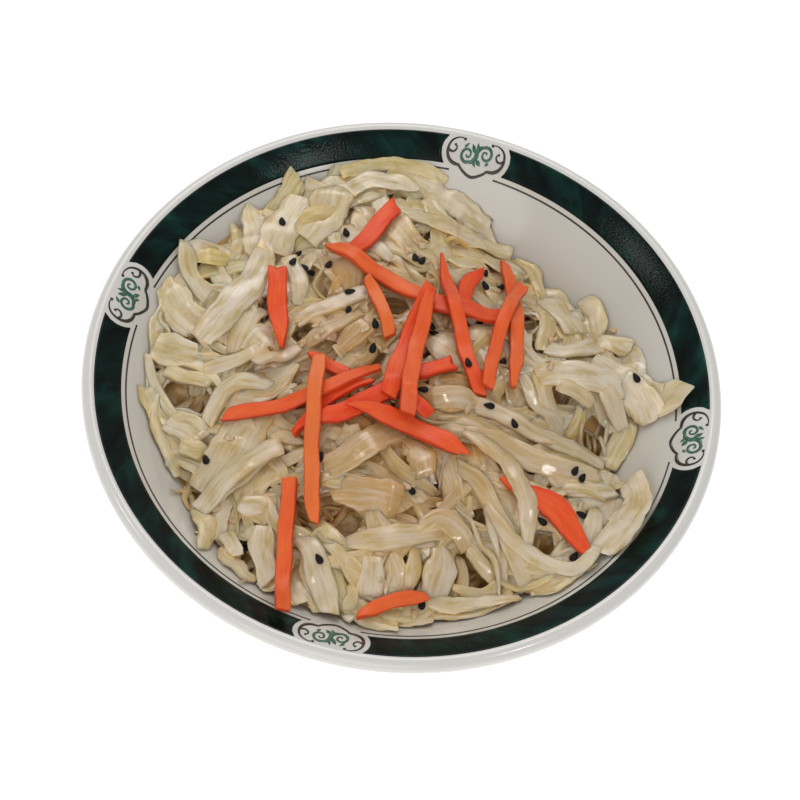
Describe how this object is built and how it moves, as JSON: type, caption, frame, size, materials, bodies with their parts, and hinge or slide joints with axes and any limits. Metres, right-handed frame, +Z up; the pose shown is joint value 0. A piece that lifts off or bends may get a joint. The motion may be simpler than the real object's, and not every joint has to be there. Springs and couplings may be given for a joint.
{
  "type": "bowl of coleslaw",
  "caption": "Wide footed glazed bowl with a patterned rim, filled with a low heap of shredded cabbage, carrot strips lying on top and sesame seeds.",
  "frame": {"origin": "centre of the foot ring's underside, on the surface the bowl stands on", "axes": "+Z up along the bowl's axis; the four rim ornaments lie on +X, -X, +Y and -Y, and the picture was taken from the -Y side, 8 degrees towards +X"},
  "size_m": [0.2, 0.2, 0.0647],
  "materials": {
    "glaze": "glossy warm off-white glaze with a dark teal band and four dark green ornaments inside the rim",
    "cabbage": null,
    "carrot": null
  },
  "bodies": {
    "root": {"bowl": "glaze", "cabbage": "cabbage", "carrot_bar": "carrot", "carrot_chip": "carrot", "carrot_dark": "carrot", "carrot_down": "carrot", "carrot_far_left": "carrot", "carrot_far_tip": "carrot", "carrot_fork": "carrot", "carrot_hook": "carrot", "carrot_left_stub": "carrot", "carrot_low_left": "carrot", "carrot_low_right": "carrot", "carrot_near_arm": "carrot", "carrot_near_crumb": "carrot", "carrot_notch": "carrot", "carrot_over_band": "carrot", "carrot_right_arm": "carrot", "carrot_right_leg": "carrot", "carrot_slice": "carrot", "carrot_sliver": "carrot", "carrot_slope": "carrot", "carrot_spear": "carrot", "carrot_twin": "carrot"}
  },
  "joints": []
}
